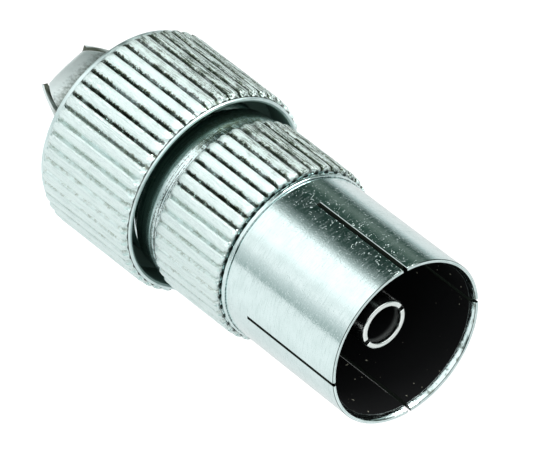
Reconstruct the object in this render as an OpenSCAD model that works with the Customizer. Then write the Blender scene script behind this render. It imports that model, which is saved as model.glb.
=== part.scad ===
// Coaxial socket for an aerial lead: a slotted sleeve round a split centre contact, with a screw cable clamp.
// It lies along X with its mouth towards +X. The origin is the centre of the mating face.
// Every depth is measured from the mating face towards the cable.

/* [Socket sleeve] */
// Bore that takes the plug's outer sleeve
socket_bore = 9.5; // [9.3:0.05:9.6]
// Bore at the mouth, where the lead-in starts
mouth_bore = 9.86; // [9.66:0.02:9.88]
// Length of the lead-in
mouth_lead = 0.5; // [0.3:0.05:1.2]
// Outside diameter at the mouth
sleeve_mouth_d = 10.26; // [10.22:0.02:10.5]
// Outside diameter where the sleeve meets the body
sleeve_root_d = 10.12; // [10:0.02:10.2]
// Rounding of the mouth's outer edge
mouth_round = 0.14; // [0.05:0.01:0.15]
// Length of the sleeve in front of the knurled body
sleeve_l = 9.65; // [8.5:0.05:12]
// Number of spring slots
slot_count = 4; // [2:1:6]
// Width of a spring slot
slot_w = 0.26; // [0.15:0.01:0.5]
// Length of a spring slot
slot_l = 7.4; // [4:0.1:8]
// Angle of the first spring slot round the axis, from +Y towards +Z
slot_turn = 2.9; // [0:0.1:90]
// Diameter of the narrow collar at the sleeve's root
collar_d = 10.36; // [10.25:0.02:10.5]
// Length of that collar
collar_l = 0.36; // [0.2:0.02:0.6]

/* [Knurled body] */
// Diameter over the lands of the body's knurl
body_d = 10.95; // [10.8:0.05:11.1]
// Length of the knurled body
body_l = 5.4; // [4:0.1:8]
// Number of knurl grooves on the body
body_grooves = 42; // [30:1:48]
// Angle of the first body groove, from +Y towards +Z
body_knurl_turn = 7.4; // [0:0.1:12]
// Chamfer at both ends of the body's knurl
body_chamfer = 0.16; // [0.05:0.01:0.2]

/* [Neck and thread] */
// Length of the plain neck behind the knurl
neck_l = 1.9; // [1.5:0.1:2]
// Diameter over the thread of the rear spigot
thread_d = 9.74; // [9.4:0.02:9.9]
// Length of the rear spigot
thread_l = 4.3; // [3.6:0.1:4.4]
// Chamfer at the spigot's end
thread_chamfer = 0.3; // [0.1:0.05:0.5]

/* [Insulator] */
// Depth of the socket's floor, the front face of the insulator
socket_depth = 9.6; // [8.5:0.1:10]
// Length of the insulator's rim
insulator_l = 3.4; // [2:0.1:4]
// Diameter of the boss round the contact
boss_d = 4.6; // [4:0.1:6]
// Length of that boss in front of the insulator
boss_l = 0.7; // [0.3:0.1:1.5]

/* [Centre contact] */
// Outside diameter of the contact
contact_d = 3.02; // [2.8:0.02:3.2]
// Bore for the plug's pin
pin_bore = 2.32; // [2.2:0.02:2.4]
// Depth of the contact's tip behind the mating face
contact_recess = 1.83; // [0.5:0.01:3]
// Depth of the pin bore
pin_bore_l = 7; // [5:0.1:8]
// Width of a contact slit
slit_w = 0.3; // [0.15:0.01:0.4]
// Length of a contact slit
slit_l = 5.6; // [3:0.1:6.5]
// Angle of the first contact slit, from +Y towards +Z
slit_turn = 25.5; // [0:0.1:180]
// Rounding of the contact's tip, inside and outside
tip_round = 0.12; // [0.03:0.01:0.13]
// Diameter of the flange behind the insulator
stop_d = 4.4; // [3.6:0.1:5]
// Thickness of that flange
stop_t = 0.5; // [0.3:0.05:0.8]
// Diameter of the solder tail
tail_d = 2; // [1.7:0.1:2.4]
// Length of the solder tail
tail_l = 3.6; // [2.5:0.1:5]
// Bore of the solder cup
cup_bore = 1.2; // [0.8:0.05:1.4]
// Depth of the solder cup
cup_l = 2.2; // [1.2:0.1:2.4]
// Width of the window in the cup's side
cup_window = 0.7; // [0.4:0.05:0.75]

/* [Cable claw] */
// Outside diameter of the claw's sleeve
claw_d = 6.6; // [6:0.05:6.8]
// Wall of the claw
claw_wall = 0.35; // [0.25:0.01:0.5]
// Length of the sleeve in front of the claw's flange
ferrule_l = 4.3; // [3.6:0.1:4.5]
// Diameter of the flange that the nut holds
flange_d = 8.6; // [8:0.1:9.2]
// Thickness of that flange
flange_t = 0.4; // [0.3:0.05:0.6]
// Straight length of a petal behind the nut
petal_straight = 0.2; // [0:0.1:1]
// Length along the axis of the bent tip
petal_tip_l = 4.5; // [3.5:0.1:5]
// Diameter over the middles of opposite petals at their tips
petal_tip_d = 3.4; // [2.8:0.1:4.4]
// Radius across a petal, which is flatter than the sleeve
petal_crown = 12; // [5:0.5:30]
// Number of petals
petal_count = 4; // [3:1:6]
// Width of the gaps between petals
petal_gap = 0.3; // [0.15:0.01:0.6]
// How far those gaps start behind the nut
petal_root = 0.2; // [0.1:0.1:1]
// Angle of the first gap, from +Y towards +Z
petal_turn = 73; // [0:0.5:90]

/* [Clamp nut] */
// Diameter over the lands of the nut's knurl
nut_d = 12.6; // [12.4:0.05:13]
// Length of the nut
nut_l = 7.83; // [7.7:0.01:8.4]
// Number of knurl grooves on the nut
nut_grooves = 48; // [36:1:54]
// Angle of the first nut groove, from +Y towards +Z
nut_knurl_turn = 3.75; // [0:0.05:10]
// Length of the chamfer at the nut's front
nut_front_l = 0.6; // [0.2:0.05:0.8]
// Depth of that chamfer
nut_front_drop = 0.3; // [0.1:0.02:0.36]
// Length of the plain band behind the nut's knurl
nut_band_l = 0.36; // [0.3:0.02:0.8]
// Depth of that band below the lands
nut_band_drop = 0.24; // [0.2:0.01:0.3]
// Length of the slope from the lands to the band
nut_slope_l = 0.2; // [0.1:0.05:0.5]
// Rounding of the nut's rear edge
nut_rear_round = 0.16; // [0.1:0.02:0.26]
// Wall of the nut at the edge of its mouth
nut_lip = 0.42; // [0.38:0.01:0.6]
// Wall of the nut round the neck
nut_side = 0.65; // [0.6:0.01:0.8]
// Length of the mouth's flare
nut_mouth_l = 0.4; // [0.2:0.05:1]
// Distance from the neck's end to the nut's thread at rest
nut_thread_gap = 1.46; // [1.3:0.02:1.8]
// Thickness of the nut's rear wall
nut_wall = 0.9; // [0.6:0.05:1.1]

/* [Knurl] */
// Width of a knurl groove at the lands
groove_w = 0.3; // [0.2:0.01:0.4]
// Depth of a knurl groove
groove_h = 0.22; // [0.1:0.01:0.25]

/* [Fits] */
// Distance from the body's knurl to the nut's mouth at rest
nut_gap = 1.36; // [1.3:0.02:2]
// Radial clearance between the neck and the nut
neck_clearance = 0.4; // [0.2:0.05:0.5]
// Radial clearance of the nut's thread
thread_clearance = 0.06; // [0.02:0.01:0.1]
// Radial clearance round the claw's sleeve
claw_clearance = 0.08; // [0.03:0.01:0.15]
// Clearance between the claw's flange and the nut
seat_clearance = 0.06; // [0.02:0.01:0.1]
// Radial clearance of the insulator and the contact in their bores
press_clearance = 0.015; // [0.005:0.005:0.03]

/* [Hidden] */
$fn = 96;
// Cutters reach this far past what they cut
over = 0.2;
round_steps = 4;

nut_mouth_bore = nut_d - 2 * nut_lip;
nut_bore = nut_d - 2 * nut_side;
neck_d = nut_bore - 2 * neck_clearance;

body_start = sleeve_l;
body_end = body_start + body_l;
neck_end = body_end + neck_l;
shell_end = neck_end + thread_l;

shoulder = socket_depth + insulator_l;
rear_bore = claw_d + 2 * claw_clearance;

stop_end = shoulder + stop_t;
tail_end = stop_end + tail_l;

nut_front = body_end + nut_gap;
nut_rear = nut_front + nut_l;
nut_floor = nut_rear - nut_wall;
nut_thread_start = neck_end + nut_thread_gap;
nut_thread_bore = thread_d + 2 * thread_clearance;
nut_hole = claw_d + 2 * claw_clearance;
band_start = nut_rear - nut_band_l;
band_d = nut_d - 2 * nut_band_drop;

flange_end = nut_floor - seat_clearance;
flange_start = flange_end - flange_t;
ferrule_start = flange_start - ferrule_l;
petal_bend = nut_rear + petal_straight;
petal_end = petal_bend + petal_tip_l;
// The pressing cylinders reach this far both ways from the bend, past the sleeve's ends
press_reach = 2 * (petal_end - ferrule_start);
petal_lean = atan((claw_d - petal_tip_d) / 2 / petal_tip_l);

nickel = [0.80, 0.84, 0.83];
silver = [0.86, 0.88, 0.86];
dark_polymer = [0.08, 0.085, 0.09];

// Profile point at a depth, given as a diameter
function at(depth, diameter) = [diameter / 2, -depth];

// Quarter round whose tangents meet at the corner given, from one angle to the other
function round_edge(depth, diameter, radius, from, to) =
    [for (step = [0:round_steps])
        let (angle = from + (to - from) * step / round_steps)
        [diameter / 2 + radius * cos(angle), -depth + radius * sin(angle)]];

// Solid turned about the X axis
module turned(profile) {
    rotate([0, 90, 0])
        rotate_extrude()
            polygon(profile);
}

// Straight V grooves all round, over a length
module groove_ring(count, turn, diameter, start, end) {
    half = groove_w / 2 * (groove_h + over) / groove_h;
    for (index = [0:count - 1])
        rotate([turn + 360 / count * index, 0, 0])
            translate([-end, 0, 0])
                rotate([0, 90, 0])
                    linear_extrude(end - start)
                        polygon([
                            [0, diameter / 2 - groove_h],
                            [half, diameter / 2 + over],
                            [-half, diameter / 2 + over]]);
}

// Radial slots all round, from the axis out past a diameter
module slot_ring(count, turn, width, diameter, start, end) {
    for (index = [0:count - 1])
        rotate([turn + 360 / count * index, 0, 0])
            translate([-end, 0, -width / 2])
                cube([end - start, diameter / 2 + over, width]);
}

// Slotted sleeve, knurled body, neck and threaded spigot, turned in one piece
module socket_shell() {
    color(nickel)
        difference() {
            turned(concat(
                [at(mouth_lead, socket_bore), at(0, mouth_bore)],
                round_edge(mouth_round, sleeve_mouth_d - 2 * mouth_round, mouth_round, 90, 0),
                [at(sleeve_l - collar_l, sleeve_root_d),
                 at(sleeve_l - collar_l, collar_d),
                 at(body_start, collar_d),
                 at(body_start, body_d - 2 * body_chamfer),
                 at(body_start + body_chamfer, body_d),
                 at(body_end - body_chamfer, body_d),
                 at(body_end, body_d - 2 * body_chamfer),
                 at(body_end, neck_d),
                 at(neck_end, neck_d),
                 at(neck_end, thread_d),
                 at(shell_end - thread_chamfer, thread_d),
                 at(shell_end, thread_d - 2 * thread_chamfer),
                 at(shell_end, rear_bore),
                 at(shoulder, rear_bore),
                 at(shoulder, socket_bore)]));
            slot_ring(slot_count, slot_turn, slot_w, sleeve_mouth_d, -over, slot_l);
            groove_ring(body_grooves, body_knurl_turn, body_d, body_start, body_end + over);
        }
}

// Bush behind the socket cavity, seated on the shell's shoulder
module insulator() {
    color(dark_polymer)
        turned([
            at(socket_depth - boss_l, contact_d + 2 * press_clearance),
            at(socket_depth - boss_l, boss_d),
            at(socket_depth, boss_d),
            at(socket_depth, socket_bore - 2 * press_clearance),
            at(shoulder, socket_bore - 2 * press_clearance),
            at(shoulder, contact_d + 2 * press_clearance)]);
}

// Split tube for the plug's pin, with its flange and solder cup behind the insulator
module centre_contact() {
    color(silver)
        difference() {
            turned(concat(
                [at(contact_recess + pin_bore_l, 0), at(contact_recess + pin_bore_l, pin_bore)],
                round_edge(contact_recess + tip_round, pin_bore + 2 * tip_round, tip_round, 180, 90),
                round_edge(contact_recess + tip_round, contact_d - 2 * tip_round, tip_round, 90, 0),
                [at(shoulder, contact_d),
                 at(shoulder, stop_d),
                 at(stop_end, stop_d),
                 at(stop_end, tail_d),
                 at(tail_end, tail_d),
                 at(tail_end, cup_bore),
                 at(tail_end - cup_l, cup_bore),
                 at(tail_end - cup_l, 0)]));
            slot_ring(2, slit_turn, slit_w, contact_d, contact_recess - over, contact_recess + slit_l);
            translate([-tail_end - over, -cup_window / 2, 0])
                cube([cup_l + over, cup_window, tail_d]);
        }
}

// Sleeve whose rear end is pressed in from each petal's side, shrunk all over by an amount
module pressed_sleeve(shrink, start, end) {
    intersection() {
        translate([-end, 0, 0])
            rotate([0, 90, 0])
                cylinder(d = claw_d - 2 * shrink, h = end - start);
        intersection_for (index = [0:petal_count - 1])
            rotate([petal_turn + 360 / petal_count * (index + 0.5), 0, 0])
                translate([-petal_bend, claw_d / 2, 0])
                    rotate([0, 0, petal_lean])
                        translate([0, -petal_crown, 0])
                            rotate([0, 90, 0])
                                cylinder(r = petal_crown - shrink, h = 2 * press_reach, center = true);
    }
}

// Sleeve with its flange and its bent petals
module cable_claw() {
    color(silver)
        difference() {
            union() {
                pressed_sleeve(0, ferrule_start, petal_end);
                turned([
                    at(flange_start, claw_d - claw_wall),
                    at(flange_start, flange_d),
                    at(flange_end, flange_d),
                    at(flange_end, claw_d - claw_wall)]);
            }
            pressed_sleeve(claw_wall, ferrule_start - over, petal_end + over);
            slot_ring(petal_count, petal_turn, petal_gap, claw_d, nut_rear + petal_root, petal_end + over);
        }
}

// Knurled nut that screws on the spigot and holds the claw by its flange
module clamp_nut() {
    color(nickel)
        difference() {
            turned(concat(
                [at(nut_front + nut_mouth_l, nut_bore),
                 at(nut_front, nut_mouth_bore),
                 at(nut_front, nut_d - 2 * nut_front_drop),
                 at(nut_front + nut_front_l, nut_d),
                 at(band_start - nut_slope_l, nut_d),
                 at(band_start, band_d)],
                round_edge(nut_rear - nut_rear_round, band_d - 2 * nut_rear_round, nut_rear_round, 0, -90),
                [at(nut_rear, nut_hole),
                 at(nut_floor, nut_hole),
                 at(nut_floor, nut_thread_bore),
                 at(nut_thread_start, nut_thread_bore),
                 at(nut_thread_start, nut_bore)]));
            groove_ring(nut_grooves, nut_knurl_turn, nut_d, nut_front - over, band_start);
        }
}

socket_shell();
insulator();
centre_contact();
cable_claw();
clamp_nut();
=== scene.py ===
import math

import bmesh
import bpy
from mathutils import Matrix, Vector


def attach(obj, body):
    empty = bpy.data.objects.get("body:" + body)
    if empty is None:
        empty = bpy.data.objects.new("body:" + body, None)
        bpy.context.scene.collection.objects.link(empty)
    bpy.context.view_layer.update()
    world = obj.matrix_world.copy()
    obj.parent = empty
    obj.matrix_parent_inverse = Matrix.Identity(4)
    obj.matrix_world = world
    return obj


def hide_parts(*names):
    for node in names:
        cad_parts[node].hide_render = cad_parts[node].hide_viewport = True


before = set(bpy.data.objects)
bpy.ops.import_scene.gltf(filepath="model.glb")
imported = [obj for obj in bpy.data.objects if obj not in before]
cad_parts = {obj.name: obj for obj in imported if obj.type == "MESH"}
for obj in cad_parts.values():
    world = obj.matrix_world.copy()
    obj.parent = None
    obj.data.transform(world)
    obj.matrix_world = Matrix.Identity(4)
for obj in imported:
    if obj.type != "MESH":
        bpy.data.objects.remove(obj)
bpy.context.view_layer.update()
print("frame loaded with", len(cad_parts), "nodes")

# The pieces are drawn in millimetres and brought to metres when they are finished.
# Depth is measured back from the mouth, angles run from +Y towards +Z.
millimetre = 0.001
mergeReach = 0.002     # points closer than this are one
slack = 0.01           # how far a point may lie off the place that it is chosen by
hair = 0.0005          # the same for the radius of a knurl's points
sameRadius = 0.0002    # radii closer than this are one
columnsRound = 144     # columns of faces round a plain turned piece
sharpAngle = 32        # edges sharper than this stay sharp, in degrees


def clearSelection():
    if bpy.context.object and bpy.context.object.mode == "EDIT":
        bpy.ops.object.mode_set(mode="OBJECT")
    bpy.ops.object.select_all(action="DESELECT")


def makeActive(piece):
    clearSelection()
    piece.select_set(True)
    bpy.context.view_layer.objects.active = piece


def placeAt(depth, radius, angle):
    turn = math.radians(angle)
    return Vector((-depth, radius * math.cos(turn), radius * math.sin(turn)))


def depthOf(point):
    return -point.x


def radiusOf(point):
    return math.hypot(point.y, point.z)


def angleFrom(point, angle):
    # how far a point lies round the axis from an angle, between -180 and 180 degrees
    turn = math.degrees(math.atan2(point.z, point.y)) - angle
    return (turn + 180) % 360 - 180


def softened(corners, guard=0.05, segments=4):
    # corners are (depth, radius, rounding); a rounded one becomes an arc with a guard point on each side
    outline = []
    for index, (depth, radius, rounding) in enumerate(corners):
        corner = Vector((depth, radius))
        if not rounding:
            outline.append(corner)
            continue
        before = Vector(corners[index - 1][:2]) - corner
        after = Vector(corners[(index + 1) % len(corners)][:2]) - corner
        half = before.angle(after) / 2
        reach = rounding / math.tan(half)
        inward = (before.normalized() + after.normalized()).normalized()
        centre = corner + inward * rounding / math.sin(half)
        first = corner + before.normalized() * reach - centre
        last = corner + after.normalized() * reach - centre
        if before.length > reach + 2 * guard:
            outline.append(centre + first + before.normalized() * guard)
        for part in range(segments + 1):
            outline.append(centre + first.normalized().slerp(last.normalized(), part / segments) * rounding)
        if after.length > reach + 2 * guard:
            outline.append(centre + last + after.normalized() * guard)
    return outline


def drawOutline(name, outline, angle=0, closed=True):
    # a plane is merged to one point, and the outline is extruded from it corner by corner
    clearSelection()
    bpy.ops.mesh.primitive_plane_add(size=1)
    piece = bpy.context.object
    piece.name = piece.data.name = name
    bpy.ops.object.mode_set(mode="EDIT")
    bpy.ops.mesh.select_mode(type="VERT")
    bpy.ops.mesh.select_all(action="SELECT")
    bpy.ops.mesh.merge(type="CENTER")
    places = [placeAt(depth, radius, angle) for depth, radius in outline]
    if closed:
        places.append(places[0])
    bpy.ops.transform.translate(value=places[0])
    for last, place in zip(places, places[1:]):
        bpy.ops.mesh.extrude_vertices_move(TRANSFORM_OT_translate={"value": place - last})
    mergeAll()
    return piece


def mergeAll():
    bpy.ops.mesh.select_all(action="SELECT")
    bpy.ops.mesh.remove_doubles(threshold=mergeReach)


def spinSelected(columns, sweep, copies=False):
    # spin turns clockwise about its axis
    bpy.ops.mesh.spin(steps=columns, angle=-math.radians(sweep), dupli=copies, center=(0, 0, 0), axis=(1, 0, 0))


def turnSelected(degrees):
    # with no window rotate turns clockwise
    bpy.ops.transform.rotate(value=-math.radians(degrees), orient_axis="X", center_override=(0, 0, 0))


def turnPiece(name, outline, angle=0, closed=True):
    # a plain turned piece: the outline goes once round the axis
    piece = drawOutline(name, outline, angle, closed)
    spinSelected(columnsRound, 360)
    mergeAll()
    bpy.ops.mesh.normals_make_consistent(inside=False)
    return piece


def startChoice(piece, kind):
    bpy.ops.mesh.select_mode(type=kind)
    bpy.ops.mesh.select_all(action="DESELECT")
    return bmesh.from_edit_mesh(piece.data)


def chooseVertices(piece, wanted):
    mesh = startChoice(piece, "VERT")
    for vertex in mesh.verts:
        vertex.select = wanted(vertex.co)
    mesh.select_flush(True)
    bmesh.update_edit_mesh(piece.data)


def chooseFaces(piece, wanted):
    mesh = startChoice(piece, "FACE")
    for face in mesh.faces:
        face.select = wanted(face)
    bmesh.update_edit_mesh(piece.data)


def chooseEdges(piece, wanted):
    mesh = startChoice(piece, "EDGE")
    for edge in mesh.edges:
        edge.select = wanted(edge)
    mesh.select_flush_mode()
    bmesh.update_edit_mesh(piece.data)


def turnKnurled(name, outline, knurl):
    # one pitch of the knurl is turned, its groove pressed in, the ends of its lands rounded, and it is copied round
    pitch = 360 / knurl["grooves"]
    columnTurn = pitch / knurl["columns"]
    land = knurl["diameter"] / 2
    deepest = land - knurl["section"][0][1]
    tips, flat = knurl["tipColumns"], knurl["tipFlat"]
    piece = drawOutline(name, outline, knurl["turn"] - pitch / 2)
    spinSelected(knurl["columns"], pitch)
    mergeAll()
    for column in range(-tips, tips + 1):
        off = abs(column)
        angle = knurl["turn"] + column * columnTurn
        place, cut = knurl["section"].get(off, (off, 0))

        def inColumn(point, lowest):
            return (abs(angleFrom(point, angle)) < columnTurn / 4 and radiusOf(point) > lowest + hair
                    and knurl["start"] < depthOf(point) < knurl["end"])

        # the lands end in rounded tips, so what lies beside their middle is drawn back
        share = 1 - min(1, max(0, off - flat) / (tips + 1 - flat))
        for (first, last), length in knurl["tips"].items():
            chooseVertices(piece, lambda point: inColumn(point, deepest) and first <= depthOf(point) <= last)
            bpy.ops.transform.translate(value=(-length * share ** 2, 0, 0))
        if cut:
            lowest = land - cut
            mesh = bmesh.from_edit_mesh(piece.data)
            for high in {round(radiusOf(vertex.co), 4) for vertex in mesh.verts if inColumn(vertex.co, lowest)}:
                chooseVertices(piece, lambda point: inColumn(point, lowest)
                               and abs(radiusOf(point) - high) < sameRadius)
                bpy.ops.transform.translate(value=placeAt(0, lowest - high, angle))
        if place != off:
            chooseVertices(piece, lambda point: inColumn(point, deepest - 2 * hair))
            turnSelected(math.copysign(place - off, column) * columnTurn)
    bpy.ops.mesh.select_all(action="SELECT")
    spinSelected(knurl["grooves"] - 1, 360 - pitch, copies=True)
    mergeAll()
    bpy.ops.mesh.normals_make_consistent(inside=False)
    return piece


def cutSlot(piece, angle, halfTurn, end, innermost, edge, rear=False):
    # the faces over a slot are taken out, and its two sides and its end are filled again
    near = 0.1   # degrees

    def beyond(place):
        # how far a place lies past the slot's end, away from its open side
        return end - depthOf(place) if rear else depthOf(place) - end

    chooseFaces(piece, lambda face: beyond(face.calc_center_median()) < 0
                and radiusOf(face.calc_center_median()) > innermost
                and abs(angleFrom(face.calc_center_median(), angle)) < halfTurn)
    bpy.ops.mesh.delete(type="FACE")
    walls = []
    for side in (-halfTurn, halfTurn):
        def onSide(place, side=side):
            return (abs(angleFrom(place, angle) - side) < near and beyond(place) < mergeReach
                    and radiusOf(place) > innermost)
        chooseVertices(piece, lambda place: onSide(place) and beyond(place) > -mergeReach)
        bpy.ops.mesh.edge_face_add()
        chooseVertices(piece, onSide)
        bpy.ops.mesh.edge_face_add()
        walls.append(onSide)
    chooseVertices(piece, lambda place: abs(depthOf(place) - end) < mergeReach and radiusOf(place) > innermost
                   and abs(angleFrom(place, angle)) < halfTurn + near)
    bpy.ops.mesh.edge_face_add()
    # the slot's edges are broken
    chooseEdges(piece, lambda line: any(all(wall(corner.co) for corner in line.verts) for wall in walls)
                and not all(beyond(corner.co) > -mergeReach for corner in line.verts))
    bpy.ops.mesh.bevel(offset=edge, segments=1, affect="EDGES", clamp_overlap=False)


def finishPiece(piece, material, body, node=None):
    makeActive(piece)
    piece.scale = (millimetre,) * 3
    bpy.ops.object.transform_apply(location=True, rotation=True, scale=True)
    bpy.ops.object.shade_smooth_by_angle(angle=math.radians(sharpAngle))
    piece.data.materials.append(material)
    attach(piece, body)
    if node:
        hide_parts(node)
    triangles = sum(len(face.vertices) - 2 for face in piece.data.polygons)
    print(piece.name, "finished with", triangles, "triangles")


# Shader values as plain expressions
class Wire:
    def __init__(self, tree, socket=None):
        self.tree = tree
        self.socket = socket

    def add(self, kind, settings=None, values=None, out=0):
        node = self.tree.nodes.new(kind)
        for name, value in (settings or {}).items():
            if name == "stops":
                for index, (place, colour) in enumerate(value):
                    stop = node.color_ramp.elements[index] if index < 2 else node.color_ramp.elements.new(place)
                    stop.position = place
                    stop.color = colour
            else:
                setattr(node, name, value)
        for name, value in (values or {}).items():
            if isinstance(value, Wire):
                self.tree.links.new(value.socket, node.inputs[name])
            else:
                node.inputs[name].default_value = value
        return Wire(self.tree, node.outputs[out] if len(node.outputs) else None)

    def math(self, operation, left, right):
        return self.add("ShaderNodeMath", {"operation": operation}, {0: left, 1: right})

    def __add__(self, other):
        return self.math("ADD", self, other)

    def __radd__(self, other):
        return self.math("ADD", other, self)

    def __sub__(self, other):
        return self.math("SUBTRACT", self, other)

    def __rsub__(self, other):
        return self.math("SUBTRACT", other, self)

    def __mul__(self, other):
        return self.math("MULTIPLY", self, other)

    def __rmul__(self, other):
        return self.math("MULTIPLY", other, self)

    def __truediv__(self, other):
        return self.math("DIVIDE", self, other)

    def __pow__(self, other):
        return self.math("POWER", self, other)

    def __abs__(self):
        return self.math("ABSOLUTE", self, 0.0)


def newMaterial(name):
    material = bpy.data.materials.new(name)
    material.use_nodes = True
    material.node_tree.nodes.clear()
    return material, Wire(material.node_tree)


def step(value, low, high):
    # 0 below low, 1 above high, a soft rise between
    return value.add("ShaderNodeMapRange", {"interpolation_type": "SMOOTHSTEP"},
                     {"Value": value, "From Min": low, "From Max": high})


def fall(value, low, high):
    return 1.0 - step(value, low, high)


def mixed(first, second, share):
    return first * share + second * (1 - share)


def blendColour(amount, first, second):
    return amount.add("ShaderNodeMix", {"data_type": "RGBA"}, {0: amount, 6: first, 7: second}, out=2)


def blendValue(amount, first, second):
    return amount.add("ShaderNodeMix", {"data_type": "FLOAT"}, {0: amount, 2: first, 3: second})


def axesOf(vector):
    split = vector.add("ShaderNodeSeparateXYZ", None, {0: vector}).socket.node
    return [Wire(vector.tree, output) for output in split.outputs]


def partPlace(wire):
    # the place on the part, in millimetres
    place = wire.add("ShaderNodeTexCoord", out=3)
    return wire.add("ShaderNodeVectorMath", {"operation": "SCALE"}, {0: place, "Scale": 1 / millimetre})


def partCoordinates(wire):
    # the place, the depth from the mouth and the distance from the axis
    place = partPlace(wire)
    x, y, z = axesOf(place)
    return place, x * -1.0, (y * y + z * z) ** 0.5


def offMiddle(turns):
    # how far a number of turns lies from the nearest whole one
    return turns.math("FRACT", turns + 0.5, 0.0) - 0.5


def stretched(place, along, across):
    # a pattern drawn out round the axis (small across) or along it (small along)
    return place.add("ShaderNodeVectorMath", {"operation": "MULTIPLY"}, {0: place, 1: (along, across, across)})


def pattern(place, along, across, detail, roughness):
    # noise with so many repeats per millimetre along the axis and across it
    return place.add("ShaderNodeTexNoise", None, {
        "Vector": stretched(place, along, across), "Scale": 1.0, "Detail": detail, "Roughness": roughness})


def closeSurface(wire, colour, metallic, rough, height, bump, specular=0.5):
    # the bump is its strength and its height in millimetres
    strength, distance = bump
    normal = wire.add("ShaderNodeBump", None,
                      {"Height": height, "Strength": strength, "Distance": distance * millimetre})
    shader = wire.add("ShaderNodeBsdfPrincipled", None, {
        "Base Color": colour, "Metallic": metallic, "Roughness": rough, "Normal": normal,
        "Specular IOR Level": specular})
    wire.add("ShaderNodeOutputMaterial", None, {"Surface": shader})


# Nickel plate. A pattern is (repeats per mm along the axis, across it, detail, roughness of the noise). A layer is
# (where its pattern starts and stops to show, how much of it, and for a mix of two patterns the first one's share).
# A width is where a distance starts and stops to count, and a wander is how far noise moves a border.
nickel = {
    "colours": {
        "plain": (0.74, 0.88, 0.875, 1), "shade": (0.52, 0.67, 0.65, 1), "land": (0.87, 1.0, 0.985, 1),
        "tarnish": (0.14, 0.17, 0.07, 1), "grimeAndShade": (0.018, 0.028, 0.02, 1), "farShade": (0.05, 0.08, 0.05, 1),
        "inside": (0.006, 0.0065, 0.007, 1), "dust": (0.5, 0.5, 0.4, 1),
        "mouth": (0.12, 0.15, 0.12, 1), "neck": (0.2, 0.28, 0.25, 1),
    },
    "patterns": {
        "marks": (18.0, 1.3, 2.0, 0.6), "grain": (20.0, 9.0, 1.0, 0.5), "scratch": (0.9, 13.0, 2.0, 0.6),
        "speck": (13.0, 13.0, 2.0, 0.6), "blot": (4.5, 4.5, 2.0, 0.5), "mottle": (1.3, 1.3, 2.0, 0.5),
    },
    "dust": (3.7, 3.7, 1.0, 0.4), "lines": (9.0, 0.25, 2.0, 0.6),
    "cells": (1.7, 0.8, 8.0),   # the dots' repeats along, across and in all
    "layers": {
        "shade": (0.35, 0.75, 0.25), "markShade": (0.55, 0.68, 0.35), "landShade": (0.46, 0.62, 0.35, 0.6),
        "worn": (0.32, 0.6, 1), "litSide": (0.28, 0.48, 0.9), "tarnish": (0.38, 0.5, 1),
        "stainAndShade": (0.8, 0.98, 1), "spots": (0.49, 0.55, 0.74, 0.65), "dust": (0.755, 0.79, 1),
        "neckLines": (0.49, 0.58, 0.8, 0.7), "neckSoil": (0.42, 0.56, 0.8, 0.5), "mouth": (0.5, 0.58, 0.8, 0.6),
        "streak": (0.46, 0.62, 1), "dotPatches": (0.4, 0.58, 1),
    },
    "amounts": {"tarnish": 0.4, "tarnishShadeSide": 0.5, "farShade": 0.2, "grimeAndShade": 0.7, "grimeAndShadeWorn": 0.25,
                "creaseShade": 0.94, "neck": 0.75, "slots": 0.95},
    "widths": {"dot": (0.1, 0.38), "groove": (0.08, 0.10), "tarnish": (0.11, 0.13), "grimeAndShade": (0.066, 0.078)},
    "wanders": {"grooveSpeck": 0.45, "grooveBlot": 0.35, "side": 0.25, "creaseShade": 0.2, "neck": 1.1},
    "rough": {"land": 0.36, "landSpeck": 0.15, "groove": 0.1, "inside": 0.85, "streak": 0.2, "dot": 0.2, "neck": 0.2},
    # in mm; a calm is how much of the height is taken away
    "heights": {"marks": 0.004, "grain": 0.003, "dots": 0.004, "landGrain": 0.06, "landScratch": 0.05,
                "grooveCalm": 0.85, "insideCalm": 0.7},
    "soft": {"border": 0.03, "inside": 0.02, "creaseShade": 0.015, "neck": 0.12},   # borders, in mm
    "knurlDepth": (0.3, 0.25),   # below the lands
    "flank": 0.035,              # how far the grooves' grime and painted shade lie to one side of the groove
    "grimeAndShadeCalm": 0.4,            # how much less the border of the grime and painted shade wanders than the tarnish's
    # angles of the far side painted with shade, of the lower side kept free of the grooves' painted shade, and of the
    # neck's soiled side
    "farShadeTurn": 61.0, "litSideTurn": 207.0, "neckSoilTurn": 83.0, "bump": (1.0, 1.0), "specular": 0.12,
}
# How each turned piece differs. Its inside, painted dark as shade, lies within a radius that falls with depth,
# between two depths. Painted shade lies in its creases, each (from depth, to depth, outermost radius), and on the
# shell's slots' walls; the shell's neck has grime streaks, soil and a painted shadow of the nut, and its lead-in is
# stained in blotches.
shellFinish = {
    "plainRough": 0.05, "inside": nickel["colours"]["inside"],
    "insideRadius": 5.105, "insideTaper": 0.0075, "insideDepths": (0.36, 13.2),
    "shadedCreases": ((0.02, 0.06, 6.0), (9.545, 9.66, 5.33), (9.27, 9.3, 5.1)),
    "neck": (15.1, 17.0), "neckShadowStart": 15.74, "dotsFade": (15.0, 15.1),
    "mouth": ((4.94, 4.96), (0.36, 0.38)),   # the radius and the depth where its stain ends
    # how the slots' painted shade fades: degrees past their sides, past their ends, towards the axis
    "slotMargins": (0.06, 0.14), "slotFade": 0.02, "slotRadius": (4.5, 4.6),
}
nutFinish = {
    # the nut's inside is painted dark grey as shade
    "plainRough": 0.3, "inside": (0.13, 0.215, 0.19, 1),
    "insideRadius": 5.9, "insideTaper": 0.0, "insideDepths": (16.5, 24.0),
    "shadedCreases": ((16.53, 16.58, 6.13),), "neck": None, "mouth": None,
}


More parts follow.
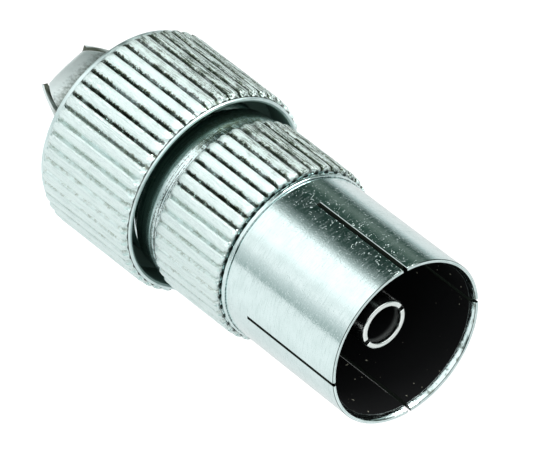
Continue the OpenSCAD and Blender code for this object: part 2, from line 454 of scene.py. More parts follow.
def turnedNickel(name, knurl, finish, slots=()):
    # bright plate with turning marks and grain; the knurl's lands are duller, its grooves ragged, and painted shade
    # lies in the grooves, creases and slots and darkens the inside
    colours, amounts, widths, wanders, rough, heights, soft = (nickel[key] for key in (
        "colours", "amounts", "widths", "wanders", "rough", "heights", "soft"))
    material, wire = newMaterial(name)
    place, depth, radius = partCoordinates(wire)
    _, y, z = axesOf(place)
    turn = wire.math("ARCTAN2", z, y) * (180 / math.pi)
    marks, grain, scratch, speck, blot, mottle = (pattern(place, *values) for values in nickel["patterns"].values())
    land, pitch = knurl["diameter"] / 2, 360 / knurl["grooves"]
    colour = colours["plain"]

    def between(first, last, half):
        return step(depth, first - half, first + half) * fall(depth, last - half, last + half)

    def facing(angle):
        # 1 on the side that faces an angle, less away from it
        return wire.math("COSINE", (turn - angle) * (math.pi / 180), 0.0) + (mottle - 0.5) * wanders["side"]

    def shown(layer, *patterns):
        low, high, amount, *share = nickel["layers"][layer]
        return step(mixed(*patterns, *share) if share else patterns[0], low, high) * amount

    def paint(amount, layer):
        nonlocal colour
        colour = blendColour(amount, colour, layer)

    knurled = (between(knurl["start"], knurl["end"], soft["border"])
               * step(radius, *(land - below for below in nickel["knurlDepth"])))
    within = fall(radius + depth * finish["insideTaper"],
                  finish["insideRadius"] - soft["border"], finish["insideRadius"])
    inside = within * between(*finish["insideDepths"], soft["inside"])
    along, across, scale = nickel["cells"]
    cells = wire.add("ShaderNodeTexVoronoi", {"feature": "F1"},
                     {"Vector": stretched(place, along, across), "Scale": scale})
    dots = fall(cells, *widths["dot"]) * shown("dotPatches", blot)
    # how far a point lies from the middle of its groove, in mm; the grime and painted shade in it have a ragged
    # border and keep to one flank
    aside = offMiddle((turn - knurl["turn"]) / pitch) * (math.radians(pitch) * land)
    fromDarkFlank = abs(aside + nickel["flank"])
    ragged = fromDarkFlank + (speck - 0.5) * wanders["grooveSpeck"] + (blot - 0.5) * wanders["grooveBlot"]
    groove = knurled * fall(abs(aside), *widths["groove"])
    border = knurled * fall(ragged, *widths["tarnish"])
    core = knurled * fall(mixed(fromDarkFlank, ragged, nickel["grimeAndShadeCalm"]), *widths["grimeAndShade"])
    worn = shown("worn", mottle)
    paint(shown("shade", mottle), colours["shade"])
    # the lands are painted a paler nickel: partly their own tone, partly painted light
    paint(knurled, colours["land"])
    paint(knurled * shown("landShade", scratch, speck), colours["shade"])
    paint((1.0 - knurled) * shown("markShade", marks), colours["shade"])
    # painted shade darkens the grooves and adds tarnish on every side but the lower one, which mirrors the floor; the
    # far side's lands get painted shade in specks drawn out along the axis
    shadeSide = 1.0 - shown("litSide", facing(nickel["litSideTurn"]))
    tarnished = border * worn * shown("tarnish", speck)
    paint(tarnished * (amounts["tarnish"] + shadeSide * amounts["tarnishShadeSide"]), colours["tarnish"])
    # painted shade on the lands of the far side, in specks drawn out along the axis
    stainAndShade = knurled * shown("stainAndShade", facing(nickel["farShadeTurn"]))
    paint(stainAndShade * (amounts["farShade"] + shown("spots", scratch, speck)), colours["farShade"])
    # the grooves' dark core: grime, plus painted shade that fades out on the lower side
    paint(core * shadeSide * (amounts["grimeAndShade"] + worn * amounts["grimeAndShadeWorn"]), colours["grimeAndShade"])
    # painted shade in the creases: the rim's outer edge, the undercut and the collar's step on the shell, the groove
    # behind the nut's ring
    for first, last, outermost in finish["shadedCreases"]:
        creaseShade = fall(radius + (speck - 0.5) * wanders["creaseShade"], outermost - soft["border"], outermost)
        paint(between(first, last, soft["creaseShade"]) * creaseShade * amounts["creaseShade"], colours["grimeAndShade"])
    if finish["neck"]:
        # the neck is streaked and soiled on one side, and painted with the nut's shadow towards the nut
        lines = pattern(place, *nickel["lines"])
        necked = between(*finish["neck"], soft["border"])
        paint(necked * shown("neckLines", lines, grain), colours["grimeAndShade"])
        soiled = shown("stainAndShade", facing(nickel["neckSoilTurn"])) * shown("neckSoil", speck, blot)
        paint(necked * soiled, colours["tarnish"])
        # painted shadow of the nut on the neck's rear part
        neckShadow = step(depth + (lines - 0.5) * wanders["neck"],
                    finish["neckShadowStart"] - soft["neck"], finish["neckShadowStart"] + soft["neck"])
        paint(necked * neckShadow * amounts["neck"], colours["neck"])
        dots = dots * fall(depth, *finish["dotsFade"])
    if finish["mouth"]:
        # the lead-in is blotched
        mouthRadius, mouthEnd = finish["mouth"]
        paint(fall(radius, *mouthRadius) * fall(depth, *mouthEnd) * shown("mouth", mottle, blot), colours["mouth"])
    # the inside is painted near black as shade, with dust specks on it
    dust = shown("dust", pattern(place, *nickel["dust"]))
    paint(inside, blendColour(dust, finish["inside"], colours["dust"]))
    if slots:
        # the slots' walls are painted dark as shade
        walls = sum((fall(abs(offMiddle((turn - middle) / 360)) * 360,
                          *(halfTurn + margin for margin in finish["slotMargins"]))
                     * fall(depth, end, end + finish["slotFade"]) for middle, halfTurn, end in slots), 0.0)
        paint(walls * step(radius, *finish["slotRadius"]) * amounts["slots"], colours["grimeAndShade"])
    dull = blendValue(knurled, finish["plainRough"] + shown("streak", marks) * rough["streak"] + dots * rough["dot"],
                      rough["land"] + speck * rough["landSpeck"])
    dull = blendValue(groove * shadeSide, dull, rough["groove"])
    if finish["neck"]:
        dull = blendValue(necked, dull, rough["neck"])
    dull = blendValue(inside, dull, rough["inside"])
    plain = marks * heights["marks"] + grain * heights["grain"] + dots * heights["dots"]
    pressed = speck * heights["landGrain"] + scratch * heights["landScratch"]
    height = blendValue(knurled, plain, pressed) * (1.0 - groove * heights["grooveCalm"])
    height = height * (1.0 - within * heights["insideCalm"])
    closeSurface(wire, colour, 1.0 - inside, dull, height, nickel["bump"], nickel["specular"])
    return material


# The knurls' shared form. The section gives each column of a groove from its middle outwards: its new place,
# in columns, and how deep it is cut. The tips are the depths that are a land's end and how far it is drawn back.
knurling = {
    "columns": 14, "section": {0: (0, 0.2), 1: (0.75, 0.1), 2: (1.3, 0.02), 3: (1.9, 0)},
    "tipColumns": 6, "tipFlat": 2,
}
# Shell: slotted sleeve, collar, knurled body, neck and threaded spigot in one turned piece
shell = {
    "mouthBore": 9.9, "socketBore": 9.5, "leadIn": 0.36, "boreRound": 0.03, "rimRound": 0.07,
    "mouthDiameter": 10.26, "rootDiameter": 10.12, "sleeveLength": 9.65,
    "collarDiameter": 10.36, "collarLength": 0.36, "collarRounds": (0.06, 0.05),
    "undercut": 0.11, "undercutDrop": 0.03,
    "bodyDiameter": 10.95, "bodyEnd": 15.05, "bodyChamfer": 0.16,
    # the lands' ends: how far from the end, and which share of the chamfer
    "landFront": ((0, 1), (0.04, 0.5), (0.11, 0.15), (0.2, 0), (0.5, 0)),
    "landRear": ((0.55, 0), (0.2, 0), (0.11, 0.15), (0.04, 0.5), (0, 1)),
    "neckDiameter": 10.5, "neckTaper": 15.6, "neckDrop": 0.12, "neckEnd": 16.95, "neckRound": 0.06,
    "spigotDiameter": 9.1, "spigotEnd": 21.25, "spigotChamfer": 0.2,
    "shoulder": 13.0, "rearBore": 6.76, "rearRound": 0.05,
    "slotEnd": 7.4, "slotEdge": 0.03, "slotInnermost": 4.5,
    "slots": ((2.9, 0.2), (91.2, 0.27), (184.6, 0.2), (272.9, 0.2)),   # angle and width of each
}
bodyKnurl = {
    **knurling, "grooves": 42, "turn": 7.4, "diameter": shell["bodyDiameter"], "start": 9.64, "end": 15.06,
    "tips": {(9.64, 9.9): 0.08, (14.8, 15.06): -0.22},
}


def slotColumns(turn, width):
    # a slot takes whole columns of faces, those nearest its place
    pitch = 360 / bodyKnurl["grooves"]
    column = pitch / bodyKnurl["columns"]
    columns = round(math.degrees(width / (shell["mouthDiameter"] / 2)) / column)
    first = round((turn - (bodyKnurl["turn"] - pitch / 2)) / column - columns / 2)
    return bodyKnurl["turn"] - pitch / 2 + (first + columns / 2) * column, columns / 2 * column, shell["slotEnd"]


shellSlots = [slotColumns(*slot) for slot in shell["slots"]]
shellPlate = turnedNickel("shellNickel", bodyKnurl, shellFinish, shellSlots)


def makeShell():
    s = shell
    mouth, root = s["mouthDiameter"] / 2, s["rootDiameter"] / 2
    collar, body, neck = s["collarDiameter"] / 2, s["bodyDiameter"] / 2, s["neckDiameter"] / 2
    spigot, bore, rearBore = s["spigotDiameter"] / 2, s["socketBore"] / 2, s["rearBore"] / 2
    bodyStart, bodyEnd, cut = s["sleeveLength"], s["bodyEnd"], s["bodyChamfer"]
    collarStart, collarEnd = bodyStart - s["collarLength"], bodyStart - s["undercut"]
    collarFront, collarRear = s["collarRounds"]
    outline = softened([
        (0, s["mouthBore"] / 2, s["boreRound"]),
        (0, mouth, s["rimRound"]),
        (s["slotEnd"], mouth + (root - mouth) * s["slotEnd"] / collarStart, 0),
        (collarStart, root, 0),
        (collarStart, collar, collarFront),
        (collarEnd, collar, collarRear),
        (collarEnd, root - s["undercutDrop"], 0),
        (bodyStart, root - s["undercutDrop"], 0),
        *((bodyStart + along, body - share * cut, 0) for along, share in s["landFront"]),
        *((bodyEnd - along, body - share * cut, 0) for along, share in s["landRear"]),
        (bodyEnd, neck, 0),
        (s["neckTaper"], neck, 0),
        (s["neckEnd"], neck - s["neckDrop"], s["neckRound"]),
        (s["neckEnd"], spigot, 0),
        (s["spigotEnd"] - s["spigotChamfer"], spigot, 0),
        (s["spigotEnd"], spigot - s["spigotChamfer"], 0),
        (s["spigotEnd"], rearBore, s["rearRound"]),
        (s["shoulder"], rearBore, 0),
        (s["shoulder"], bore, 0),
        (s["slotEnd"], bore, 0),
        (s["leadIn"], bore, 0),
    ])
    piece = turnKnurled("shellBody", outline, bodyKnurl)
    for middle, halfTurn, end in shellSlots:
        cutSlot(piece, middle, halfTurn, end, s["slotInnermost"], s["slotEdge"])
    finishPiece(piece, shellPlate, "shell", "socket_shell")


# Thread: a right-hand ridge round the spigot, open at both ends until its caps are filled
thread = {
    "pitch": 0.75, "rear": 20.9, "turns": 5, "steps": 96,
    "crest": 9.74, "root": 9.0, "crestHalf": 0.07, "rootHalf": 0.31,
}


def makeThread():
    t = thread
    root, crest = t["root"] / 2, t["crest"] / 2
    section = [(t["rear"] - t["rootHalf"], root), (t["rear"] - t["crestHalf"], crest),
               (t["rear"] + t["crestHalf"], crest), (t["rear"] + t["rootHalf"], root)]
    piece = drawOutline("spigotThread", section)
    bpy.ops.object.mode_set(mode="OBJECT")
    ridge = piece.modifiers.new("turns", "SCREW")
    ridge.axis = "X"
    ridge.screw_offset = t["pitch"]
    ridge.iterations = t["turns"]
    ridge.steps = ridge.render_steps = t["steps"]
    bpy.ops.object.modifier_apply(modifier="turns")
    bpy.ops.object.mode_set(mode="EDIT")
    places = [vertex.co.copy() for vertex in bmesh.from_edit_mesh(piece.data).verts]
    for end in (places[:len(section)], places[-len(section):]):
        chooseVertices(piece, lambda place: any((place - other).length < mergeReach for other in end))
        bpy.ops.mesh.edge_face_add()
    bpy.ops.mesh.select_all(action="SELECT")
    bpy.ops.mesh.normals_make_consistent(inside=False)
    finishPiece(piece, shellPlate, "shell")


# Insulator with its raised boss, pressed into the bore
insulator = {
    "front": 9.6, "rear": 13.0, "diameter": 9.47, "bossDiameter": 4.6, "bossLength": 0.7, "hole": 3.05,
    "holeRound": 0.05, "bossRound": 0.15, "frontRound": 0.2, "rearRound": 0.1,
}
polymer = {
    "colour": (0.010, 0.012, 0.013, 1), "flowColour": (0.020, 0.022, 0.024, 1),
    "grain": (12.0, 12.0, 3.0, 0.6), "flow": (0.8, 0.8, 2.0, 0.5),
    "rough": 0.4, "grainRough": 0.15, "bump": (0.2, 0.02),
}


def insulatorPolymer():
    p = polymer
    material, wire = newMaterial("insulatorPolymer")
    place = partPlace(wire)
    grain = pattern(place, *p["grain"])
    colour = blendColour(pattern(place, *p["flow"]), p["colour"], p["flowColour"])
    closeSurface(wire, colour, 0.0, p["rough"] + grain * p["grainRough"], grain, p["bump"])
    return material


def makeInsulator():
    i = insulator
    outer, boss, hole = i["diameter"] / 2, i["bossDiameter"] / 2, i["hole"] / 2
    bossFront = i["front"] - i["bossLength"]
    piece = turnPiece("insulatorDisc", softened([
        (bossFront, hole, i["holeRound"]),
        (bossFront, boss, i["bossRound"]),
        (i["front"], boss, i["bossRound"]),
        (i["front"], outer, i["frontRound"]),
        (i["rear"], outer, i["rearRound"]),
        (i["rear"], hole, i["holeRound"]),
    ]))
    finishPiece(piece, insulatorPolymer(), "shell", "insulator")


# Centre contact: split tube in front, stop flange behind the insulator, solder cup at the rear
contact = {
    "tip": 1.83, "diameter": 3.02, "bore": 2.32, "boreEnd": 8.83, "drillPoint": 0.3,
    "tipRound": 0.12, "boreRound": 0.08,
    "stopStart": 13.0, "stopEnd": 13.5, "stopDiameter": 4.4, "stopRound": 0.05,
    "tailDiameter": 2.0, "tailEnd": 17.1, "tailFillet": 0.1, "tailRound": 0.06,
    "cupBore": 1.2, "cupFloor": 14.9, "cupPoint": 0.2, "cupRound": 0.05,
    "slitTurns": (25.5, 205.5), "slitColumns": 3, "slitEnd": 7.43, "slitEdge": 0.02, "slitInnermost": 0.9,
    "windowTurn": 90.0, "windowHalf": 20.0, "windowInnermost": 0.3,
}
contactFinish = {
    "colour": (0.9, 0.96, 0.94, 1), "shade": (0.68, 0.8, 0.76, 1), "dull": (0.06, 0.065, 0.06, 1),
    "turning": (10.0, 0.4, 3.0, 0.6), "mottle": (2.0, 2.0, 2.0, 0.5),
    "shadeRange": (0.35, 0.75), "shadeAmount": 0.4,
    "tubeShadeStart": (2.0, 2.5), "tubeShadeEnd": (12.0, 13.0), "tubeShadeAmount": 0.8, "hollowRadius": (1.2, 1.3),
    "rough": 0.2, "turningRough": 0.1, "hollowRough": 0.3, "bump": (0.25, 0.02),
}


def contactPlate():
    # bright at the tip, painted with shade along the tube and painted near black inside it as shade
    f = contactFinish
    material, wire = newMaterial("contactPlate")
    place, depth, radius = partCoordinates(wire)
    turning, mottle = pattern(place, *f["turning"]), pattern(place, *f["mottle"])
    # painted shade along the tube behind the tip, and the bore painted near black as shade
    dull = step(depth, *f["tubeShadeStart"]) * fall(depth, *f["tubeShadeEnd"])
    hollow = dull * fall(radius, *f["hollowRadius"])
    colour = blendColour(step(mottle, *f["shadeRange"]) * f["shadeAmount"], f["colour"], f["shade"])
    colour = blendColour(dull * f["tubeShadeAmount"], colour, f["dull"])
    colour = blendColour(hollow, colour, nickel["colours"]["inside"])
    rough = f["rough"] + turning * f["turningRough"] + hollow * f["hollowRough"]
    closeSurface(wire, colour, 1.0 - hollow, rough, turning, f["bump"], nickel["specular"])
    return material


def makeContact():
    c = contact
    tube, bore, tail, cup = c["diameter"] / 2, c["bore"] / 2, c["tailDiameter"] / 2, c["cupBore"] / 2
    stop = c["stopDiameter"] / 2
    outline = softened([
        (c["boreEnd"], 0, 0),
        (c["boreEnd"] - c["drillPoint"], bore, 0),
        (c["slitEnd"], bore, 0),
        (c["tip"], bore, c["boreRound"]),
        (c["tip"], tube, c["tipRound"]),
        (c["slitEnd"], tube, 0),
        (c["stopStart"], tube, 0),
        (c["stopStart"], stop, c["stopRound"]),
        (c["stopEnd"], stop, c["stopRound"]),
        (c["stopEnd"], tail, c["tailFillet"]),
        (c["cupFloor"], tail, 0),
        (c["tailEnd"], tail, c["tailRound"]),
        (c["tailEnd"], cup, c["cupRound"]),
        (c["cupFloor"], cup, 0),
        (c["cupFloor"] - c["cupPoint"], 0, 0),
    ])
    slitTurn, column = c["slitTurns"][0], 360 / columnsRound
    piece = turnPiece("centreContact", outline, angle=slitTurn, closed=False)
    for turn in c["slitTurns"]:
        cutSlot(piece, turn, c["slitColumns"] * column, c["slitEnd"], c["slitInnermost"], c["slitEdge"])
    # the cup's window takes whole columns too
    middle = slitTurn + round((c["windowTurn"] - slitTurn) / column) * column
    halfTurn = round(c["windowHalf"] / column) * column
    cutSlot(piece, middle, halfTurn, c["cupFloor"], c["windowInnermost"], c["slitEdge"], rear=True)
    finishPiece(piece, contactPlate(), "shell", "centre_contact")


# Nut: knurled cap with a bevelled front, a plain band behind, and the thread inside
nut = {
    "front": 16.41, "rear": 24.24, "diameter": 12.6, "lip": 6.02, "lipRound": 0.05, "ring": 0.13,
    # how far from the ring and above the lip, then how far from the lands' ends and below the lands
    "ringRise": ((0, 0.02), (0.03, 0.09)),
    "landFront": ((0.09, 0.09), (0.19, 0.025), (0.32, 0), (0.7, 0)),
    "landRear": ((0.55, 0), (0.22, 0), (0.12, 0.03), (0.04, 0.11)),
    "bandStart": 23.88, "bandDiameter": 12.12, "rearRound": 0.16,
    "mouthBore": 11.76, "mouthLength": 0.12, "mouthRound": 0.02,
    "frontBore": 11.5, "threadStart": 18.41, "threadBore": 9.86, "floor": 23.34, "hole": 6.76, "holeRound": 0.06,
}
nutKnurl = {
    **knurling, "grooves": 48, "turn": 3.75, "diameter": nut["diameter"], "start": 16.53, "end": 23.885,
    "tips": {(16.53, 16.91): 0.2, (23.6, 23.885): -0.16},
}


def makeNut():
    n = nut
    land, band, hole = n["diameter"] / 2, n["bandDiameter"] / 2, n["hole"] / 2
    threadBore, frontBore = n["threadBore"] / 2, n["frontBore"] / 2
    ringEnd, bandStart = n["front"] + n["ring"], n["bandStart"]
    piece = turnKnurled("clampNut", softened([
        (n["front"], n["mouthBore"] / 2, n["mouthRound"]),
        (n["front"], n["lip"], n["lipRound"]),
        *((ringEnd + along, n["lip"] + above, 0) for along, above in n["ringRise"]),
        *((ringEnd + along, land - below, 0) for along, below in n["landFront"]),
        *((bandStart - along, land - below, 0) for along, below in n["landRear"]),
        (bandStart, band, 0),
        (n["rear"], band, n["rearRound"]),
        (n["rear"], hole, n["holeRound"]),
        (n["floor"], hole, 0),
        (n["floor"], threadBore, 0),
        (n["threadStart"], threadBore, 0),
        (n["threadStart"], frontBore, 0),
        (n["front"] + n["mouthLength"], frontBore, 0),
    ]), nutKnurl)
    finishPiece(piece, turnedNickel("nutNickel", nutKnurl, nutFinish), "nut", "clamp_nut")


# Cable claw: a thin pressed sleeve, a flange, and four petals bent in over the cable, none quite like the next
claw = {
    "start": 18.58, "bend": 24.3, "diameter": 6.6, "wall": 0.35, "columns": 48, "slitColumns": 1,
    "flangeStart": 22.88, "flangeEnd": 23.28, "flangeDiameter": 8.6, "flangeRound": 0.06, "flangeOverlap": 0.1,
    "tip": 28.94, "tipHeight": 1.7, "tipSag": 0.1, "bendPower": 1.35, "sagPower": 1.6, "rows": 16, "slitGap": 0.3,
    "tipDraw": 0.8,   # how much of its rounding a corner of the tip is drawn back
    "lip": 0.06, "lipSegments": 2, "lipAngle": 50, "innerLevel": 0.5, "innerGain": 0.8,
    "petals": ({"turn": 118, "lean": 0.0, "stretch": 0.98, "skew": 3.2, "round": 0.12},
               {"turn": 208, "lean": 3.8, "stretch": 1.2, "skew": 0.0, "round": 0.5},
               {"turn": 298, "lean": 0.5, "stretch": 1.02, "skew": 0.0, "round": 0.4},
               {"turn": 28, "lean": -3.4, "stretch": 1.14, "skew": 0.0, "round": 0.8}),
}
clawFinish = {
    "colour": (0.84, 0.94, 0.93, 1), "rootShade": (0.09, 0.13, 0.1, 1), "innerShade": (0.05, 0.065, 0.03, 1),
    "grain": (1.0, 8.0, 3.0, 0.6), "mottle": (1.1, 1.1, 2.0, 0.5),
    "shadeRange": (0.35, 0.75), "shadeAmount": 0.25, "innerRange": (0.12, 0.5), "innerShadeAmount": 0.92,
    "rootShadeRange": (26.3, 28.0), "rootShadeWander": 2.0, "rootShadeAmount": 0.88,
    "rough": 0.3, "grainRough": 0.12, "innerRough": 0.2, "bump": (0.25, 0.02),
}


def clawPlate():
    # thin sheet with a fine grain, painted with a dark reflection and shade near the nut, duller and painted with
    # shade on its inner side
    f = clawFinish
    material, wire = newMaterial("clawPlate")
    place = partPlace(wire)
    depth = axesOf(place)[0] * -1.0
    grain, mottle = pattern(place, *f["grain"]), pattern(place, *f["mottle"])
    inner = step(wire.add("ShaderNodeAttribute", {"attribute_name": "inner"}, out=2), *f["innerRange"])
    # painted dark reflection and shade near the nut
    root = fall(depth + (grain - 0.5) * f["rootShadeWander"], *f["rootShadeRange"])
    shaded = step(mottle, *f["shadeRange"]) * f["shadeAmount"]
    colour = blendColour(shaded, f["colour"], nickel["colours"]["shade"])
    colour = blendColour(root * f["rootShadeAmount"], colour, f["rootShade"])
    # the inner side is painted dark as shade
    colour = blendColour(inner * f["innerShadeAmount"], colour, f["innerShade"])
    rough = f["rough"] + grain * f["grainRough"] + inner * f["innerRough"]
    closeSurface(wire, colour, 1.0, rough, grain, f["bump"])
    return material


def drawQuarter():
    # the quarter of the sleeve on the +Z side, its petal extruded row by row, flattened and bent in
    c = claw
    radius, middle = c["diameter"] / 2, 90
    outline = [Vector((c["start"], radius)), Vector((c["flangeStart"], radius)), Vector((c["bend"], radius))]
    quarter = drawOutline("cableClaw", outline, middle - 45, closed=False)
    spinSelected(c["columns"], 90)
    mergeAll()
    column = 90 / c["columns"]
    halfTurn = 45 - c["slitColumns"] * column
    chooseEdges(quarter, lambda line: all(depthOf(corner.co) > c["bend"] - slack
                                          and abs(angleFrom(corner.co, middle)) < halfTurn + column / 4
                                          for corner in line.verts))
    turn = math.radians(halfTurn)
    fullSag = radius * (1 - math.cos(turn))
    width, sag, height, last = radius * math.sin(turn), fullSag, radius, c["bend"]
    rows = []
    for row in range(1, c["rows"] + 1):
        share = row / c["rows"]
        nextHeight = radius + (c["tipHeight"] - radius) * share ** c["bendPower"]
        nextSag = fullSag * (1 - share) ** c["sagPower"] + c["tipSag"] * share
        nextWidth = nextHeight - nextSag - c["slitGap"] / math.sqrt(2)
        nextDepth = c["bend"] + (c["tip"] - c["bend"]) * share
        bpy.ops.mesh.extrude_edges_move(TRANSFORM_OT_translate={"value": (last - nextDepth, 0, nextHeight - height)})
        bpy.ops.transform.resize(value=(1, nextWidth / width, nextSag / sag),
                                 center_override=(-nextDepth, 0, nextHeight))
        width, sag, height, last = nextWidth, nextSag, nextHeight, nextDepth
        rows.append((last, width))
    return quarter, rows


def roundTip(quarter, rows, rounding):
    # each column of the petal is drawn back as far as the round corner of its tip asks for
    c = claw
    length, width = c["tip"] - c["bend"], rows[-1][1]
    shares = sorted({round(abs(vertex.co.y) / width, 3) for vertex in bmesh.from_edit_mesh(quarter.data).verts
                     if depthOf(vertex.co) > c["tip"] - slack})
    for share in shares:
        beyond = share * width - (width - rounding)
        if beyond <= 0:
            continue
        back = rounding * c["tipDraw"] * (beyond / rounding) ** 2
        chooseVertices(quarter, lambda place: any(abs(depthOf(place) - depth) < slack
                                                  and abs(abs(place.y) / half - share) < slack / 2
                                                  for depth, half in rows))
        bpy.ops.transform.resize(value=(1 - back / length, 1, 1), center_override=(-c["bend"], 0, 0))


def bendPetal(quarter, rows, petal):
    # the corners of the petal's tip are rounded, then it is drawn out, bent its own way and turned to its place
    c = claw
    makeActive(quarter)
    bpy.ops.object.mode_set(mode="EDIT")
    roundTip(quarter, rows, petal["round"])
    chooseVertices(quarter, lambda place: depthOf(place) > c["bend"] + slack)
    bpy.ops.transform.resize(value=(petal["stretch"], 1, 1), center_override=(-c["bend"], 0, 0))
    for axis, turn in (("Y", petal["lean"]), ("Z", petal["skew"])):
        bpy.ops.transform.rotate(value=math.radians(turn), orient_axis=axis,
                                 center_override=(-c["bend"], 0, c["diameter"] / 2))
    bpy.ops.mesh.select_all(action="SELECT")
    turnSelected(petal["turn"] - 90)
    bpy.ops.object.mode_set(mode="OBJECT")


def makeClaw():
    c = claw
    piece, rows = drawQuarter()
    quarters = [piece]
    while len(quarters) < len(c["petals"]):
        makeActive(piece)
        bpy.ops.object.duplicate()
        quarters.append(bpy.context.object)
    for quarter, petal in zip(quarters, c["petals"]):
        bendPetal(quarter, rows, petal)
    makeActive(piece)
    for quarter in quarters:
        quarter.select_set(True)
    bpy.ops.object.join()
    bpy.ops.object.mode_set(mode="EDIT")
    mergeAll()
    bpy.ops.mesh.normals_make_consistent(inside=False)
    bpy.ops.object.mode_set(mode="OBJECT")
    solid = piece.modifiers.new("wall", "SOLIDIFY")
    solid.thickness = c["wall"]
    solid.offset = -1
    solid.use_even_offset = True
    bpy.ops.object.modifier_apply(modifier="wall")
    edges = piece.modifiers.new("lips", "BEVEL")
    edges.width = c["lip"]
    edges.segments = c["lipSegments"]
    edges.limit_method = "ANGLE"
    edges.angle_limit = math.radians(c["lipAngle"])
    bpy.ops.object.modifier_apply(modifier="lips")
    # how far each point faces the axis, for the inner side's roughness and painted shade
    inner = piece.data.attributes.new("inner", "FLOAT", "POINT")
    for vertex in piece.data.vertices:
        outward = Vector((0, vertex.co.y, vertex.co.z)).normalized().dot(vertex.normal)
        inner.data[vertex.index].value = min(1, max(0, c["innerLevel"] - c["innerGain"] * outward))
    hole, rim = c["diameter"] / 2 - c["flangeOverlap"], c["flangeDiameter"] / 2
    flange = turnPiece("clawFlange", softened([
        (c["flangeStart"], hole, 0),
        (c["flangeStart"], rim, c["flangeRound"]),
        (c["flangeEnd"], rim, c["flangeRound"]),
        (c["flangeEnd"], hole, 0),
    ]))
    plate = clawPlate()
    finishPiece(flange, plate, "claw")
    finishPiece(piece, plate, "claw", "cable_claw")


makeShell()
makeThread()
makeInsulator()
makeContact()
makeNut()
makeClaw()
print("pieces made")

# Stage: a white floor just under the nut, which keeps a faint shadow, with a painted shadow under the part and
# painted light in front; the painted shadow and the front are in millimetres
stage = {
    "drop": 0.0063, "size": 6.0, "glow": 0.93, "mirrorGlow": 0.58, "albedo": 0.16,
    "shadowMiddle": (-13.0, 1.0), "shadowHalf": (12.5, 3.0), "shadowPowers": (4.0, 2.0), "shadowFade": (0.2, 1.0),
    "shadowDepth": 0.93, "frontFade": (-4.0, 4.0), "frontLight": 0.3,
}


def makeFloor():
    clearSelection()
    bpy.ops.mesh.primitive_plane_add(size=stage["size"])
    floor = bpy.context.object
    floor.name = "studioFloor"
    bpy.ops.object.mode_set(mode="EDIT")
    bpy.ops.mesh.select_all(action="SELECT")
    bpy.ops.transform.translate(value=(0, 0, -stage["drop"]))
    bpy.ops.object.mode_set(mode="OBJECT")
    material, wire = newMaterial("studioFloor")
    rays = wire.add("ShaderNodeLightPath").socket.node
    straight, glossy, through = (Wire(wire.tree, rays.outputs[name])
                                 for name in ("Is Camera Ray", "Is Glossy Ray", "Is Transmission Ray"))
    shown = straight * stage["glow"] + wire.math("MAXIMUM", glossy, through) * stage["mirrorGlow"]
    # painted shadow: the glow fades right under the part, where it would lie in its own shadow
    across = axesOf(partPlace(wire))
    away = [(abs(axis - middle) / half) ** power for axis, middle, half, power in zip(
        across, stage["shadowMiddle"], stage["shadowHalf"], stage["shadowPowers"])]
    under = fall((away[0] + away[1]) ** 0.5, *stage["shadowFade"])
    shown = shown * (1.0 - under * stage["shadowDepth"])
    # painted light: it is brighter on the camera's side
    shown = shown * (1.0 + fall(across[1], *stage["frontFade"]) * stage["frontLight"])
    glow = wire.add("ShaderNodeEmission", None, {"Color": (1, 1, 1, 1), "Strength": shown})
    plain = wire.add("ShaderNodeBsdfDiffuse", None, {"Color": (stage["albedo"],) * 3 + (1,)})
    both = wire.add("ShaderNodeAddShader", None, {0: glow, 1: plain})
    wire.add("ShaderNodeOutputMaterial", None, {"Surface": both})
    floor.data.materials.append(material)


# Surroundings: bands round the part's axis from a dim side, over a bright panel, to a grey gap. On the mouth's side
# an overhead panel takes over, and low in front of the mouth it is dark. Each stop is (degrees up from the far
# horizon, colour), and the bands lean with the distance from the mirror line.
surround = {
    "bands": ((0, (0.62, 0.70, 0.70, 1)), (8, (0.33, 0.38, 0.37, 1)), (15, (0.025, 0.055, 0.045, 1)),
              (28, (0.16, 0.2, 0.175, 1)), (40, (0.035, 0.07, 0.055, 1)), (64, (0.012, 0.03, 0.024, 1)),
              (79, (0.05, 0.08, 0.07, 1)), (90, (0.36, 0.40, 0.39, 1)), (101, (1.35, 1.35, 1.35, 1)),
              (128, (1.35, 1.35, 1.35, 1)), (142, (1.0, 1.0, 1.0, 1)), (152, (1.1, 1.08, 1.08, 1)),
              (162, (0.75, 0.78, 0.78, 1)), (176, (0.44, 0.50, 0.49, 1))),
    "overhead": ((0, (0.5, 0.55, 0.55, 1)), (14, (0.12, 0.17, 0.15, 1)), (32, (0.35, 0.4, 0.39, 1)),
                 (42, (1.35, 1.35, 1.35, 1)), (168, (1.25, 1.25, 1.25, 1)), (180, (0.8, 0.85, 0.85, 1))),
    "overheadFrom": (-0.05, 0.15), "mirrorLine": -0.6, "skew": 20.0,
    "front": (0.06, 0.09, 0.08, 1), "frontFrom": (0.12, 0.3), "frontTop": (0.24, 0.42),
}


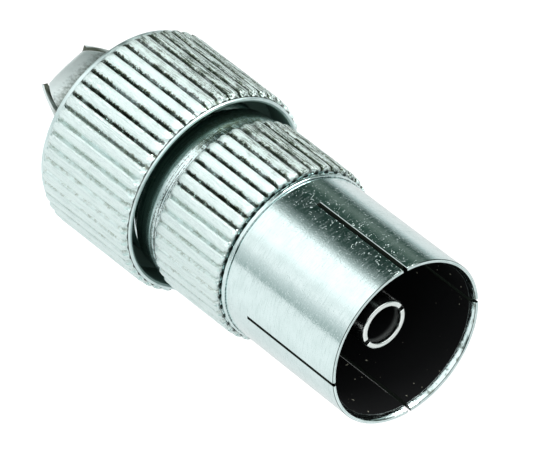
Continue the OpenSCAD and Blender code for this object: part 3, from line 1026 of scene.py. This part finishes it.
def makeWorld():
    world = bpy.data.worlds.new("studio")
    bpy.context.scene.world = world
    world.use_nodes = True
    world.node_tree.nodes.clear()
    wire = Wire(world.node_tree)
    seen = wire.add("ShaderNodeLightPath")
    x, y, z = axesOf(wire.add("ShaderNodeTexCoord"))
    height = wire.math("ARCTAN2", z, y) / math.pi

    def banded(stops, place):
        shares = [(degrees / 180, colour) for degrees, colour in stops]
        return wire.add("ShaderNodeValToRGB", {"stops": shares}, {0: place})

    around = banded(surround["bands"], height - (x - surround["mirrorLine"]) * (surround["skew"] / 180))
    above = banded(surround["overhead"], height)
    colour = blendColour(step(x, *surround["overheadFrom"]), around, above)
    low = fall(z, *surround["frontTop"])
    colour = blendColour(step(x, *surround["frontFrom"]) * low, colour, surround["front"])
    dim = wire.add("ShaderNodeBackground", None, {"Color": colour})
    white = wire.add("ShaderNodeBackground", None, {"Color": (1, 1, 1, 1)})
    both = wire.add("ShaderNodeMixShader", None, {0: seen, 1: dim, 2: white})
    wire.add("ShaderNodeOutputWorld", None, {"Surface": both})


# One soft lamp above, off the sleeve's mirror line, which whitens the rougher knurls
lamp = {"direction": (0.02, 0.48, 0.877), "distance": 0.5, "size": (0.3, 0.3), "power": 2.6,
        "colour": (1.0, 0.99, 0.975)}


def makeLamp():
    clearSelection()
    aim = Vector(lamp["direction"]).normalized()
    bpy.ops.object.light_add(type="AREA", location=aim * lamp["distance"])
    light = bpy.context.object
    light.name = light.data.name = "topPanel"
    light.data.shape = "RECTANGLE"
    light.data.size, light.data.size_y = lamp["size"]
    light.data.energy = lamp["power"]
    light.data.color = lamp["colour"]
    light.rotation_euler = aim.to_track_quat("Z", "Y").to_euler()


# Camera at the photograph's angle; its place is given in its own right and up directions, in millimetres
view = {"azimuth": 50.7504, "elevation": 39.1921, "right": -7.563, "up": 5.987, "distance": 700.0,
        "focalPixels": 12927.855, "imageWidth": 533, "sensor": 36.0, "clip": (0.01, 20)}


def makeCamera():
    azimuth, elevation = math.radians(view["azimuth"]), math.radians(view["elevation"])
    right = Vector((math.cos(azimuth), math.sin(azimuth), 0))
    back = Vector((math.sin(azimuth) * math.cos(elevation), -math.cos(azimuth) * math.cos(elevation),
                   math.sin(elevation)))
    up = back.cross(right)
    place = (right * view["right"] + up * view["up"] + back * view["distance"]) * millimetre
    clearSelection()
    bpy.ops.object.camera_add(location=place)
    camera = bpy.context.object
    camera.name = "photoCamera"
    camera.rotation_euler = Matrix((right, up, back)).transposed().to_euler()
    camera.data.sensor_fit = "HORIZONTAL"
    camera.data.sensor_width = view["sensor"]
    camera.data.lens = view["focalPixels"] / view["imageWidth"] * view["sensor"]
    camera.data.clip_start, camera.data.clip_end = view["clip"]
    bpy.context.scene.camera = camera


makeFloor()
makeWorld()
makeLamp()
makeCamera()
bpy.context.scene.view_settings.view_transform = "Standard"
print("stage, light and camera set")
